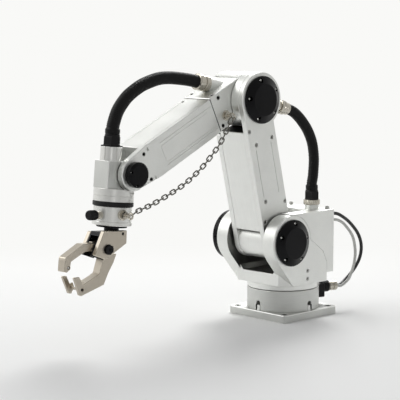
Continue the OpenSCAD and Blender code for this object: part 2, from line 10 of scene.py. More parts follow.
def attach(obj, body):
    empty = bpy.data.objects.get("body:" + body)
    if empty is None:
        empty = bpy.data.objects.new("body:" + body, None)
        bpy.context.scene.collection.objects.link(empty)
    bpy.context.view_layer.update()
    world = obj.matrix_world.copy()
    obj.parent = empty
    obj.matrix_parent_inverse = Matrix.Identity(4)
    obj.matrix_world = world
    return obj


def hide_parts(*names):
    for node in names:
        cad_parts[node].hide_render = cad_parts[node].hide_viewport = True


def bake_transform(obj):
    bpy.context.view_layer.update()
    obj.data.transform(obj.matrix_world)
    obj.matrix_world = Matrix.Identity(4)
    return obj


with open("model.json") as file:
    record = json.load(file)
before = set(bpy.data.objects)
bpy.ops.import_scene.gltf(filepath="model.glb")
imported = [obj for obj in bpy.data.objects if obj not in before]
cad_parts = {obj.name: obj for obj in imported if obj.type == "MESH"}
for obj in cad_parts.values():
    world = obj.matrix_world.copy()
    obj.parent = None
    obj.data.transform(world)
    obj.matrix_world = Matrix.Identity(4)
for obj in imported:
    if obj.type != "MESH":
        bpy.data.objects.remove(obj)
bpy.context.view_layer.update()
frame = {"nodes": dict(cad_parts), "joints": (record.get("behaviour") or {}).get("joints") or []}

bl_info = {
    "name": "Pneumatic manipulator arm",
    "version": (1, 0, 0),
    "blender": (4, 5, 0),
    "location": "3D View > Sidebar > Arm",
    "description": "Builds the finished arm round its loaded frame, and the studio it stands in",
    "category": "Object",
}

# ------------------------------------------------------------------ frames
# Shapes are made in millimetres in the arm's own frame, and become metres when a piece is finished.
MM = 0.001
LEAN, DROP, TILT = 13.5, 25.5, 5.5  # rest angles of upper arm, forearm and tool axis, in degrees
JOINTS = {j["name"]: Vector(j["pos_m"]) / MM for j in frame["joints"]}
NEAR, FAR, UP, FRONT, REAR = (0, 1, 0), (0, -1, 0), (0, 0, 1), (1, 0, 0), (-1, 0, 0)


def turned_about(axis, degrees):
    return Matrix.Rotation(math.radians(degrees), 4, axis)


def moved(*by):
    return Matrix.Translation(by)


BASE = Matrix.Identity(4)
UPPER = moved(*JOINTS["shoulder"]) @ turned_about("Y", LEAN)
FORE = moved(*JOINTS["elbow"]) @ turned_about("Y", DROP)
TOOL = moved(*JOINTS["wrist_pitch"]) @ turned_about("Y", -TILT)
SHOULDER_AXIS = moved(*JOINTS["shoulder"])
ELBOW_AXIS = moved(*JOINTS["elbow"])
WRIST_AXIS = FORE @ moved(330, 0, 15)
ALONG_Y = turned_about("X", -90)    # local Z along +Y
AGAINST_Y = turned_about("X", 90)   # local Z along -Y
PORT = moved(JOINTS["elbow"].x, 29.5, JOINTS["elbow"].z) @ turned_about("Y", -104)
SOCKET = FORE @ moved(31, -23, 41.5) @ turned_about("Y", 90 - DROP - 11)
GLAND = moved(-42, 40, 220)
TOWER = TOOL @ moved(30.5, 0, 0)
BARREL = TOOL @ moved(18, 0, 0)
KNOB = BARREL @ moved(0, 0, -78) @ turned_about("Z", 9) @ turned_about("Y", 90)
PLUG = turned_about("Z", 155) @ moved(0, 0, 51.5) @ turned_about("Y", 90)
CLAW_X, CLAW_Z = 43, -140           # the claws' pivot in the tool's frame
EARS_INSIDE = 50.6                  # just past the faces that ears and housing turn to the arm
HOUSING_TOP, FOOT_TOP = 220, 96     # heights of the housing's top and of the yoke's foot
CABLE_JACKET = 0.6                  # what a cable's jacket adds to its radius


def axial(place, height):
    return place @ Vector((0, 0, height))


def facing(frame_of, point, out):
    """A place on a surface, with its local Z pointing out of it."""
    return frame_of @ moved(*point) @ Vector(out).to_track_quat("Z", "Y").to_matrix().to_4x4()


# ------------------------------------------------------------------ shapes
def polar(r, degrees):
    a = math.radians(degrees)
    return r * math.cos(a), r * math.sin(a)


def turned(bm, place, profile, steps=64, loop=False):
    """Turns (radius, height) rows round local Z. "hex" after a row measures across flats, "ribs" cuts
    flutes."""
    rings = []
    for radius, height, *form in profile:
        ring = []
        for k in range(steps):
            a = math.tau * k / steps
            r = radius
            if "hex" in form:
                r = radius / math.cos((a + math.pi / 6) % (math.pi / 3) - math.pi / 6)
            elif "ribs" in form:
                r = radius - form[1] * (k % 4 > 1)
            ring.append(bm.verts.new(place @ Vector((r * math.cos(a), r * math.sin(a), height))))
        rings.append(ring)
    for low, high in zip(rings, rings[1:] + rings[:1] * loop):
        for k in range(steps):
            n = (k + 1) % steps
            bm.faces.new((low[k], low[n], high[n], high[k]))
    if not loop:
        bm.faces.new(rings[0][::-1])
        bm.faces.new(rings[-1])


def drawn(bm, place, outline, y0, y1):
    """Draws an outline in local X and Z out along Y."""
    near, far = ([bm.verts.new(place @ Vector((p, y, q))) for p, q in outline] for y in (y1, y0))
    for k in range(len(outline)):
        n = (k + 1) % len(outline)
        bm.faces.new((near[k], near[n], far[n], far[k]))
    bm.faces.new(near[::-1])
    bm.faces.new(far)


def block(bm, place, low, high):
    drawn(bm, place, [(low[0], low[2]), (high[0], low[2]), (high[0], high[2]), (low[0], high[2])],
          low[1], high[1])


def round_slot(p0, q0, p1, q1, r, steps=8):
    """Outline of a rectangle with round corners."""
    corners = [(p1 - r, q1 - r, 0), (p0 + r, q1 - r, 90), (p0 + r, q0 + r, 180), (p1 - r, q0 + r, 270)]
    return [(p + u, q + v) for p, q, a in corners for k in range(steps + 1)
            for u, v in [polar(r, a + 90 * k / steps)]]


def swept(bm, path, radii, sides=24, closed=False, first=None):
    """Sweeps a ring along a path, with the matching radius at each point."""
    n = len(path)
    way = [(path[(i + 1) % n if closed else min(i + 1, n - 1)]
            - path[i - 1 if closed else max(i - 1, 0)]).normalized()
           for i in range(n)]
    side = (Vector(first) if first else way[0].orthogonal()).normalized()
    rings = []
    for p, w, r in zip(path, way, radii):
        side = (side - w * side.dot(w)).normalized()
        other = w.cross(side)
        turns = [math.tau * k / sides for k in range(sides)]
        rings.append([bm.verts.new(p + r * (math.cos(a) * side + math.sin(a) * other)) for a in turns])
    for low, high in zip(rings, rings[1:] + rings[:1] * closed):
        for k in range(sides):
            m = (k + 1) % sides
            bm.faces.new((low[k], low[m], high[m], high[k]))
    if not closed:
        bm.faces.new(rings[0][::-1])
        bm.faces.new(rings[-1])


def smooth_path(route, step):
    """One smooth curve through the route's points, as points evenly spaced along it."""
    p = [Vector(q) for q in route]
    p = [2 * p[0] - p[1]] + p + [2 * p[-1] - p[-2]]
    fine = [0.5 * (2 * b + (c - a) * t + (2 * a - 5 * b + 4 * c - d) * t ** 2
                   + (3 * b - a - 3 * c + d) * t ** 3)
            for a, b, c, d in zip(p, p[1:], p[2:], p[3:]) for t in (k / 16 for k in range(16))] + [p[-2]]
    far = [0.0]
    for a, b in zip(fine, fine[1:]):
        far.append(far[-1] + (b - a).length)
    count = max(2, round(far[-1] / step))
    out, k = [], 0
    for i in range(count + 1):
        s = far[-1] * i / count
        while k < len(far) - 2 and far[k + 1] < s:
            k += 1
        out.append(fine[k].lerp(fine[k + 1], (s - far[k]) / (far[k + 1] - far[k])))
    return out


def path_length(path):
    return sum((b - a).length for a, b in zip(path, path[1:]))


def cad_solid(node):
    """The frame's own solid for a node, in millimetres, with its flat faces whole."""
    bm = bmesh.new()
    bm.from_mesh(frame["nodes"][node].data)
    bmesh.ops.scale(bm, vec=[1 / MM] * 3, verts=bm.verts)
    bmesh.ops.remove_doubles(bm, verts=bm.verts, dist=0.01)
    bmesh.ops.dissolve_limit(bm, angle_limit=math.radians(1), verts=bm.verts, edges=bm.edges)
    return bm


def shown(name, data):
    obj = bpy.data.objects.new(name, data)
    bpy.context.scene.collection.objects.link(obj)
    return obj


def scene_object(name, bm, slots=0):
    mesh = bpy.data.meshes.new(name)
    bmesh.ops.recalc_face_normals(bm, faces=bm.faces)
    bm.to_mesh(mesh)
    bm.free()
    for _ in range(slots):
        mesh.materials.append(None)
    return shown(name, mesh)


def room(e, pick):
    """How far the faces beside an edge reach away from it: the smaller or the larger of the two."""
    return pick(f.calc_area() for f in e.link_faces) / max(e.calc_length(), 1e-9)


def machined(bm, chamfer=0.8, cuts=None, bend=32):
    """Breaks a solid's edges, then cuts its pockets and grooves out of it."""
    bmesh.ops.recalc_face_normals(bm, faces=bm.faces)
    share = bm.edges.layers.float.new("bevel_weight_edge")
    for e in bm.edges:
        if e.is_manifold and e.calc_face_angle_signed() > math.radians(bend):
            e[share] = min(1.0, room(e, min) / (3 * chamfer or 1))
    blank = scene_object("blank", bm, 2)
    if chamfer:
        edge = blank.modifiers.new("chamfer", "BEVEL")
        edge.width, edge.segments, edge.material = chamfer, 1, 1
        edge.limit_method, edge.use_clamp_overlap = "WEIGHT", False
    cutter = None
    if cuts and cuts.faces:
        cutter = scene_object("cutter", cuts, 1)
        cut = blank.modifiers.new("cut", "BOOLEAN")
        cut.object, cut.operation, cut.solver = cutter, "DIFFERENCE", "MANIFOLD"
    mesh = bpy.data.meshes.new_from_object(blank.evaluated_get(bpy.context.evaluated_depsgraph_get()))
    for obj in filter(None, (blank, cutter)):
        bpy.data.objects.remove(obj)
    return mesh


def finished(name, shape, body, finish, stands_for=(), bend=28, edge=None):
    """Makes one piece of a shape in millimetres: its finish, its smooth and sharp edges, and the body it
    rides on."""
    if isinstance(shape, bmesh.types.BMesh):
        obj = scene_object(name, shape, 2)
    else:
        obj = shown(name, shape)
    mesh = obj.data
    mesh.name = name
    if "custom_normal" in mesh.attributes:
        mesh.attributes.remove(mesh.attributes["custom_normal"])
    bm = bmesh.new()
    bm.from_mesh(mesh)
    for f in bm.faces:
        f.smooth = True
    for e in bm.edges:
        turn = math.degrees(e.calc_face_angle(0.0)) if e.is_manifold else 180
        e.smooth = turn < (9 if turn > 9 and room(e, max) > 10 else bend)
    bm.to_mesh(mesh)
    bm.free()
    mesh.transform(Matrix.Scale(MM, 4))
    for k in range(2):
        if len(mesh.materials) <= k:
            mesh.materials.append(None)
    mesh.materials[0], mesh.materials[1] = FINISH[finish], FINISH[edge or finish]
    if stands_for:
        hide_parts(*stands_for)
    if body:
        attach(obj, body)
    return obj


def cap_screw(bm, place, r, height, turn=0):
    """Head of a socket screw, with its hexagon socket."""
    turned(bm, place @ turned_about("Z", turn), [
        (r, -0.4), (r, height * 0.86), (r * 0.9, height), (r * 0.56, height, "hex"),
        (r * 0.54, height * 0.3, "hex"), (r * 0.2, height * 0.22)], 24)


def sunk_screws(cuts, heads, frame_of, points, out, r=3.1, depth=4.6):
    """Counterbored pockets at points on a surface, each with a screw head at its bottom."""
    for k, point in enumerate(points):
        place = facing(frame_of, point, out)
        turned(cuts, place, [(r * 1.36, -depth), (r * 1.36, -0.5), (r * 1.36 + 0.9, 0.4),
            (r * 1.36 + 0.9, 2)], 24)
        cap_screw(heads, place @ moved(0, 0, -depth), r, depth - 1.0, 23 * k)


# ------------------------------------------------------------------ finishes
def linear(code):
    """sRGB hex to linear colour."""
    parts = [int(code[k:k + 2], 16) / 255 for k in (1, 3, 5)]
    return tuple(c / 12.92 if c <= 0.04045 else ((c + 0.055) / 1.055) ** 2.4 for c in parts) + (1.0,)


def add(tree, kind, links=(), **settings):
    """Adds one node; links gives its inputs as values or as another node's outputs."""
    made = tree.nodes.new("ShaderNode" + kind)
    for name, value in settings.items():
        setattr(made, name, value)
    for name, value in dict(links).items():
        if isinstance(value, bpy.types.NodeSocket):
            tree.links.new(value, made.inputs[name])
        else:
            made.inputs[name].default_value = value
    return made


def empty_tree(owner):
    owner.use_nodes = True
    owner.node_tree.nodes.clear()
    return owner.node_tree


def surface(name, colour, metallic, roughness, grain_mm, grain_deep_mm, patch_mm=70.0, patch=0.05,
            rough_by=0.06, lay=None, spin=(0, 0, 0), sheen=0.5):
    """A finish with three scales: a tone that drifts over patch_mm, a roughness that drifts with it,
    and a relief of grain_mm. lay stretches the grain into lathe or brush lines that run across that local
    axis."""
    made = bpy.data.materials.new(name)
    tree = empty_tree(made)
    at = add(tree, "TexCoord").outputs["Object"]
    turn = add(tree, "Mapping", {"Vector": at, "Rotation": [math.radians(a) for a in spin]}).outputs["Vector"]
    stretch = (1, 1, 1) if lay is None else tuple(1.0 if k == lay else 0.03 for k in range(3))
    lines = add(tree, "Mapping", {"Vector": turn, "Scale": stretch}).outputs["Vector"]
    patches = add(tree, "TexNoise", {"Vector": at, "Scale": 1 / (patch_mm * MM), "Detail": 4.0,
                                         "Roughness": 0.6})
    grain = add(tree, "TexNoise", {"Vector": lines, "Scale": 1 / (grain_mm * MM), "Detail": 3.0,
                                       "Roughness": 0.7})
    drift = add(tree, "MapRange", {"Value": patches.outputs["Fac"], "From Min": 0.3, "From Max": 0.7,
                                   "To Min": 1 - patch, "To Max": 1 + patch})
    fleck = add(tree, "MapRange", {"Value": grain.outputs["Fac"], "From Min": 0.25, "From Max": 0.75,
                                   "To Min": 1 - patch * 0.8, "To Max": 1 + patch * 0.8})
    tone = add(tree, "Math", {0: drift.outputs["Result"], 1: fleck.outputs["Result"]}, operation="MULTIPLY")
    shade = add(tree, "VectorMath", {0: colour[:3], 1: tone.outputs["Value"]}, operation="MULTIPLY")
    rough = add(tree, "MapRange", {"Value": patches.outputs["Fac"], "From Min": 0.3, "From Max": 0.7,
                                   "To Min": roughness - rough_by, "To Max": roughness + rough_by})
    bump = add(tree, "Bump", {"Height": grain.outputs["Fac"], "Strength": 1.0,
        "Distance": grain_deep_mm * MM})
    skin = add(tree, "BsdfPrincipled", {"Base Color": shade.outputs["Vector"], "Metallic": metallic,
                                        "Roughness": rough.outputs["Result"],
                                        "Normal": bump.outputs["Normal"],
                                        "Specular IOR Level": sheen})
    add(tree, "OutputMaterial", {"Surface": skin.outputs["BSDF"]})
    return made


FINISH = {}


def make(key, *look, **more):
    FINISH[key] = surface(*look, **more)


def make_finishes(tones):
    """Every finish of the arm, from the colours in its settings."""
    silver, bright = tones.aluminium, tones.chamfer
    # Aluminium, bead-blasted and clear anodised: a cool satin grey with soft reflections. The blast's
    # 0.1 mm grit would not show, so its grain is drawn 1.4 mm wide.
    make("satin", "bead_blasted_anodised_aluminium", silver, 1.0, 0.47, 1.4, 0.012)
    # The same aluminium as turned on a lathe: fine feed lines round the part, drawn 1.2 mm apart so that
    # they show.
    make("turned_z", "lathe_turned_aluminium_upright", silver, 1.0, 0.4, 1.2, 0.014, lay=2)
    make("turned_y", "lathe_turned_aluminium_across", silver, 1.0, 0.4, 1.2, 0.014, lay=1)
    make("turned_tool", "lathe_turned_aluminium_tool", linear("#dededb"), 1.0, 0.34, 1.2, 0.004, lay=2,
         patch=0.02, rough_by=0.02, spin=(0, TILT, 0))
    # The wrist's milled block: the same alloy painted a shade darker than the arm, as painted shade against
    # the lamps' light on its faces.
    make("wrist", "milled_wrist_aluminium", linear("#cfd0cd"), 1.0, 0.42, 1.4, 0.010)
    # Painted shade: the base's machined castings take the arm's clear anodised aluminium painted a deeper
    # grey, for the dimmer light low by the floor.
    make("base", "machined_base_casting", linear("#cacbc8"), 1.0, 0.44, 1.2, 0.012, lay=2)
    # Painted shade: a dark grey copy of the aluminium, put on the faces inside the yoke's channel and on the
    # housing's faces turned to the arm, where shade falls round the moving joint.
    make("channel", "dark_anodised_channel", linear("#8a8a87"), 1.0, 0.4, 1.4, 0.012)
    # Edges broken after anodising: bare bright aluminium lines along every corner.
    make("edge", "bright_cut_aluminium", bright, 1.0, 0.36, 0.8, 0.004, patch=0.03)
    # Rolled panel, brushed along the arm before anodising: a lighter, slightly streaked sheet.
    make("panel", "brushed_aluminium_panel", tones.panel, 1.0, 0.42, 1.3, 0.010, lay=1)
    # Aluminium dyed black in anodising: deep satin black whose flat faces stay charcoal under a white room.
    make("black", "black_anodised_aluminium", tones.black, 1.0, 0.34, 1.2, 0.012, patch=0.08)
    make("black_edge", "worn_black_anodised_edge", linear("#46474a"), 1.0, 0.26, 0.8, 0.004)
    # Glass-filled nylon, injection moulded: dull black with a faint mottle.
    make("nylon", "moulded_black_nylon", linear("#101011"), 0.0, 0.42, 1.5, 0.03, patch=0.12, sheen=0.22)
    # Extruded rubber hose: matt black, chalky where it catches the light.
    make("hose", "extruded_black_rubber_hose", tones.rubber, 0.0, 0.46, 2.0, 0.05, patch=0.15, rough_by=0.08,
         sheen=0.2)
    # Soft PVC, extruded: smooth jackets with a waxy sheen.
    make("cable_black", "extruded_black_pvc", linear("#161616"), 0.0, 0.34, 3.0, 0.02, sheen=0.4)
    make("cable_grey", "extruded_grey_pvc", linear("#b4b4b0"), 0.0, 0.4, 3.0, 0.02)
    # Brass, turned and nickel plated: bright, a little warm, with lathe lines.
    make("nickel", "nickel_plated_brass", tones.nickel, 1.0, 0.15, 1.0, 0.006)
    # Steel, ground and matt nickel plated: the warm grey of the claws.
    make("claw", "matt_nickel_plated_steel", tones.claw, 1.0, 0.37, 1.5, 0.014, patch=0.06)
    make("claw_edge", "polished_nickel_edge", linear("#cfc8ba"), 1.0, 0.24, 0.8, 0.004)
    # Drawn wire, zinc plated: bright grey links with dull hollows.
    make("chain", "zinc_plated_steel_wire", linear("#77756f"), 1.0, 0.25, 1.5, 0.01, patch=0.12)
    # Stainless screws, and black-oxide ones: small turned heads.
    make("screw", "stainless_steel_screw", linear("#b9b9b6"), 1.0, 0.24, 0.8, 0.004)
    make("oxide", "black_oxide_steel", linear("#2b2b2c"), 1.0, 0.36, 0.8, 0.01)
    # Nitrile rubber, moulded: dead black gaskets and seals; also the black sheets of painted shade inside the
    # upper arm.
    make("seal", "moulded_nitrile_seal", linear("#0c0c0c"), 0.0, 0.5, 1.5, 0.03, sheen=0.3)


# ------------------------------------------------------------------ settings
def tone(name, about, code):
    return bpy.props.FloatVectorProperty(name=name, description=about, subtype="COLOR", size=3, min=0, max=1,
                                         default=linear(code)[:3])


def size(name, about, value, least, most):
    return bpy.props.FloatProperty(name=name, description=about, subtype="DISTANCE", unit="LENGTH",
                                   default=value, min=least, max=most)


class ArmTones(bpy.types.PropertyGroup):
    """Colours of the arm's finishes."""
    aluminium: tone("Aluminium", "Clear anodised aluminium", "#e5e6e3")
    panel: tone("Panels", "Brushed front and rear panels", "#e3e4e1")
    chamfer: tone("Broken edges", "Bare aluminium where edges are broken", "#ececea")
    black: tone("Covers", "Black anodised covers", "#202021")
    rubber: tone("Hoses", "Rubber of both hoses", "#0b0b0b")
    nickel: tone("Fittings", "Nickel-plated fittings", "#c0bbb0")
    claw: tone("Gripper", "Cheeks and claws of the gripper", "#bdb5a8")


class ArmSizes(bpy.types.PropertyGroup):
    """Sizes of the arm's small features, in metres."""
    chamfer: size("Broken edge", "Width of the broken edges of machined parts", 0.0007, 0.0002, 0.002)
    rib_pitch: size("Hose rib pitch", "Distance from rib to rib along the hoses", 0.0032, 0.002, 0.008)
    rib_depth: size("Hose rib depth", "Depth of the grooves between the ribs", 0.0006, 0.0, 0.002)
    link_pitch: size("Chain pitch", "Inner length of a link", 0.0114, 0.008, 0.02)
    link_wire: size("Chain wire", "Diameter of the links' wire", 0.0027, 0.0015, 0.004)
    link_width: size("Chain width", "Outer width of a link", 0.0102, 0.006, 0.014)


def sizes():
    """The size settings, in millimetres."""
    group = bpy.context.scene.arm_sizes
    return {name: getattr(group, name) / MM for name in ArmSizes.__annotations__}


# ------------------------------------------------------------------ camera and lines
class ARM_OT_camera(bpy.types.Operator):
    """Camera above the elbow's height, in front of the arm and to its near side"""
    bl_idname = "arm.camera"
    bl_label = "Camera"

    def execute(self, context):
        data = bpy.data.cameras.new("camera")
        data.sensor_width, data.lens = 36.0, 126.9
        data.clip_end = 100.0
        camera = shown("camera", data)
        camera.location = (2.1235, 1.9729, 0.6006)
        view = Vector((0.1293, -0.1151, 0.2383)) - camera.location
        camera.rotation_euler = view.to_track_quat("-Z", "Y").to_euler()
        context.scene.camera = camera
        return {"FINISHED"}


WRIST_HOSE = [axial(TOWER, 73.1), axial(TOWER, 87), (434, -23, 428), (427, -23, 441), (416, -23, 454),
              (404, -23, 465), (388, -23, 475), (370, -23, 484), (348, -23, 491), (325, -23, 496),
              (301, -23, 497), (275, -23, 495), axial(SOCKET, 90), axial(SOCKET, 70.1)]
SHOULDER_HOSE = [axial(PORT, 91.6), axial(PORT, 100.5),
                 (3, 30, 420), (-11, 30, 410), (-23, 30, 399), (-34, 31, 386), (-43, 32, 371), (-49, 33, 356),
                 (-52, 34, 340), (-52, 36, 321), (-50, 37, 302), (-46, 39, 286),
                 axial(GLAND, 53), axial(GLAND, 40.1)]
BLACK_CABLE = [(-78.6, 50, 206), (-95, 50, 206), (-113, 50, 203), (-132, 50, 194), (-149, 49, 184),
               (-166, 49, 170), (-182, 48, 154), (-193, 47, 135), (-196, 46, 116), (-190, 46, 98),
               (-177, 46, 82), (-157, 47, 67), (-137, 49, 57), PLUG @ Vector((0, 4, 130.5)),
               PLUG @ Vector((0, 4, 121.6))]
GREY_CABLE = [(-78.6, 60, 194), (-93, 60, 194), (-108, 59, 190), (-122, 58, 183), (-136, 57, 172),
              (-149, 56, 160), (-159, 55, 146), (-165, 54, 130), (-167, 54, 114), (-165, 54, 98),
              (-159, 55, 84), (-148, 58, 71), (-135, 61, 61), PLUG @ Vector((0, -4, 131.5)),
              PLUG @ Vector((0, -4, 121.6))]
LOWER_EYE = BARREL @ Vector((6, 59, -75))
UPPER_EYE = FORE @ Vector((74, 32, 3))
CHAIN = [LOWER_EYE + Vector((-4.4, 0, 2.1)), (433, 36, 257), (414, 36, 262), (391, 35, 268), (368, 35, 276),
         (345, 34, 284), (323, 34, 293), (296, 34, 307), (270, 33, 323), (253, 33, 336), (237, 33, 350),
         (222, 32, 363), (209, 32, 378), (198, 32, 394), (190, 32, 407), UPPER_EYE + Vector((3, 0, -4.6))]


def lay_line(name, route, diameter, finish, ribs=True, cuffs=()):
    """One hose or cable along its route."""
    small = sizes()
    r, pitch, deep = diameter / 2 + (0 if ribs else CABLE_JACKET), small["rib_pitch"], small["rib_depth"]
    path = smooth_path(route, pitch / 4 if ribs else 1.8)
    radii = [r - (deep if ribs and k % 4 > 1 else 0.0) for k in range(len(path))]
    total = path_length(path)
    for k in range(len(path)):
        s = total * k / (len(path) - 1)
        for at, long, extra in cuffs:
            d = s if at == "start" else total - s
            if d < long:
                radii[k] = r + extra - (0.7 if d < 0.7 or long - d < 0.9 else 0.0)
    bm = bmesh.new()
    swept(bm, path, radii, 28 if ribs else 20)
    line = finished("ribbed_" + name if ribs else "round_" + name, bm, None, finish, [name], bend=50)
    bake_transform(line)
    return line


class ARM_OT_lines(bpy.types.Operator):
    """Both ribbed hoses and both supply cables, each along its own route"""
    bl_idname = "arm.lines"
    bl_label = "Hoses and cables"

    def execute(self, context):
        lay_line("wrist_hose", WRIST_HOSE, 25, "hose",
                 cuffs=[("start", 9, 1.6)])
        lay_line("shoulder_hose", SHOULDER_HOSE, 22, "hose",
                 cuffs=[("end", 9, 1.6)])
        lay_line("black_cable", BLACK_CABLE, 6, "cable_black",
                 ribs=False)
        lay_line("grey_cable", GREY_CABLE, 5, "cable_grey",
                 ribs=False)
        return {"FINISHED"}


class ARM_OT_chain(bpy.types.Operator):
    """Safety chain of wire links, from the elbow block's eye to the barrel's eye"""
    bl_idname = "arm.chain"
    bl_label = "Chain"

    def execute(self, context):
        small = sizes()
        pitch, wire, width = small["link_pitch"], small["link_wire"], small["link_width"]
        path = smooth_path(CHAIN, 1.0)
        count = round(path_length(path) / pitch)
        straight, bow = (pitch + 2 * wire - width) / 2, (width - wire) / 2
        outline = [(sx * straight + u, v) for sx, a0 in ((1, -90), (-1, 90))
                   for u, v in (polar(bow, a) for a in range(a0, a0 + 181, 18))]
        bm = bmesh.new()
        for k in range(count):
            at = min(len(path) - 2, max(1, round((k + 0.5) / count * (len(path) - 1))))
            way = (path[at + 1] - path[at - 1]).normalized()
            flat = Vector((0.68, 0.72, 0.12))
            flat = (flat - way * flat.dot(way)).normalized()
            flat = flat if k % 2 else way.cross(flat)
            across = flat.cross(way)
            swept(bm, [path[at] + way * p + across * q for p, q in outline], [wire / 2] * len(outline), 10,
                True, flat)
        chain = finished("chain_links", bm, None, "chain", ["chain"], bend=50)
        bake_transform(chain)
        return {"FINISHED"}


# ------------------------------------------------------------------ base
def plain(node, body, finish="satin", edge="edge", chamfer=None, cuts=None, bend=32):
    """A machined part with the frame's own shape, its edges broken and its pockets cut."""
    width = sizes()["chamfer"] if chamfer is None else chamfer
    return finished(node + "_machined", machined(cad_solid(node), width, cuts, bend), body, finish,
                    [node], edge=edge)


def lathe(name, body, place, profile, finish, stands_for=(), steps=64, bend=28):
    """A piece turned from one profile."""
    bm = bmesh.new()
    turned(bm, place, profile, steps)
    finished(name, bm, body, finish, stands_for, bend)


class ARM_OT_base(bpy.types.Operator):
    """Base plate with its mounting holes, and the notched pedestal with its foot screws"""
    bl_idname = "arm.base"
    bl_label = "Base"

    def execute(self, context):
        cuts, feet, bolts = bmesh.new(), bmesh.new(), bmesh.new()
        for sx in (-66, 66):
            for sy in (-66, 66):
                turned(cuts, moved(sx, sy, 16), [(6.8, -7), (6.8, -0.6), (8, 0.6), (8, 3)], 32)
                cap_screw(bolts, moved(sx, sy, 9), 6.2, 6.4, sx + sy)
        # Painted shade: the plate takes the darker base finish.
        plain("base_plate", "base", finish="base", chamfer=1.2, cuts=cuts)
        finished("plate_bolts", bolts, "base", "oxide")
        cuts = bmesh.new()
        for k in range(4):
            arch = [(u, 25 + v) for u, v in (polar(7.4, a) for a in range(0, 181, 15))]
            drawn(cuts, turned_about("Z", 90 * k - 90), [(-7.4, 15.4), (7.4, 15.4)] + arch, 62.4, 82)
        # Painted shade: the pedestal takes the darker base finish too.
        plain("pedestal", "base", finish="base", chamfer=0.7, cuts=cuts)
        for k in range(4):
            at = turned_about("Z", 90 * k) @ moved(69.6, 0, 16)
            turned(feet, at, [(6.4, 0.05), (6.4, 1.4), (6, 1.6)], 32)
            cap_screw(feet, at @ moved(0, 0, 1.6), 5.2, 9.4, 20)
        finished("foot_screws", feet, "base", "satin")
        return {"FINISHED"}


class ARM_OT_supply(bpy.types.Operator):
    """Black angled supply connector and its nickel fitting at the rear of the base"""
    bl_idname = "arm.supply"
    bl_label = "Supply connector"

    def execute(self, context):
        plain("supply_connector", "base", "nylon", "nylon", chamfer=1.6)
        lathe("supply_fitting_turned", "base", PLUG,
              [(9.2, 102), (9.2, 103.5), (10, 104), (10, 110), (9.4, 110.6), (8.4, 111), (8.4, 112.4),
               (9.4, 112.8), (10, 113.4), (10, 118.6), (9.4, 119.6), (7.6, 121.4)],
              "nickel", ["supply_fitting"], 48)
        lathe("supply_collar", "base", PLUG,
              [(11.5, 100), (11.9, 85, "ribs", 0.7), (11.9, 99.4, "ribs", 0.7), (11.2, 101.6),
               (8.4, 102.2)], "nylon", steps=96)
        return {"FINISHED"}


# ------------------------------------------------------------------ turret
class ARM_OT_turret(bpy.types.Operator):
    """Turntable, shoulder yoke, rear housing and service panel, with their screws and seams"""
    bl_idname = "arm.turret"
    bl_label = "Turret"

    def execute(self, context):
        heads = bmesh.new()
        plain("turntable", "turret", finish="turned_z", chamfer=0.7)
        cuts = bmesh.new()
        for side, out in ((80, NEAR), (-80, FAR)):
            sunk_screws(cuts, heads, BASE, [(13, side, 101), (13, side, 84.5)], out, 2.7, 3.6)
        yoke = plain("shoulder_yoke", "turret", cuts=cuts, chamfer=0.6, bend=28)
        # Painted shade: faces inside the yoke's channel, above its foot, take the dark grey painted-shade
        # finish.
        yoke.data.materials.append(FINISH["channel"])
        for f in yoke.data.polygons:
            x, y, z = f.center / MM
            if abs(y) < EARS_INSIDE and z > FOOT_TOP and f.normal.x < 0.5:
                f.material_index = 2
        cuts = bmesh.new()
        for side in (80, -80):
            low, high = sorted((side - math.copysign(0.35, side), side + math.copysign(1, side)))
            seam = [(11, 169), (-32, 137.6), (-42.4, 116.5), (-41.8, 116.2), (-31.5, 137), (11.5, 168.4)]
            drawn(cuts, BASE, seam, low, high)
            turned(cuts, facing(BASE, (-31.6, side, 137), (0, side, 0)), [(1.9, -1.4), (1.9, 2)], 24)
        housing = plain("rear_housing", "turret", cuts=cuts, chamfer=0.5)
        # Painted shade: the housing's faces turned towards the arm take the dark grey painted-shade finish.
        housing.data.materials.append(FINISH["channel"])
        for f in housing.data.polygons:
            if abs(f.center.y / MM) < EARS_INSIDE and abs(f.normal.y) > 0.5:
                f.material_index = 2
        cuts = bmesh.new()
        sunk_screws(cuts, heads, BASE, [(-70.5, y, z) for y in (-62, 0, 62) for z in (106, 204)
                                        if (y, z) != (62, 204)] + [(-70.5, 28, 204)], REAR, 2.6, 2.6)
        plain("service_panel", "turret", cuts=cuts, chamfer=0.8)
        for x, y in ((-60, -34), (-61, 66)):
            at = moved(x, y, HOUSING_TOP)
            turned(heads, at, [(5.4, 0), (5.4, 1), (5, 1.2)], 32)
            cap_screw(heads, at @ moved(0, 0, 1.2), 4.2, 4.4, y)
        finished("turret_screws", heads, "turret", "screw")
        return {"FINISHED"}


def cover(name, place, body, phase, radius=47.0, high=11.0, flat=31.5, rim=3.8, screws=5, screw_at=39.6,
          screw_r=2.7):
    """A black dished cover with screws sunk in its sloping rim."""
    bm, cuts, heads = bmesh.new(), bmesh.new(), bmesh.new()
    profile = [(radius, 0), (radius, rim - 0.6), (radius - 0.8, rim), (flat + 1.2, high - 0.7), (flat, high)]
    turned(bm, place, profile, 96)
    floor = rim - 1.0
    for k in range(screws):
        at = place @ moved(*polar(screw_at, -(phase + 360 / screws * k)), floor)
        turned(cuts, at, [(screw_r * 1.75, 0), (screw_r * 1.75, high)], 32)
        turned(heads, at, [(screw_r, -0.3), (screw_r, screw_r * 0.8), (screw_r * 0.55, screw_r * 1.25),
                           (screw_r * 0.3, screw_r * 1.3, "hex"), (screw_r * 0.28, screw_r * 0.8, "hex")], 24)
    finished(name + "_dish", machined(bm, 0, cuts), body, "black", [name], bend=20)
    finished(name + "_screws", heads, body, "screw")


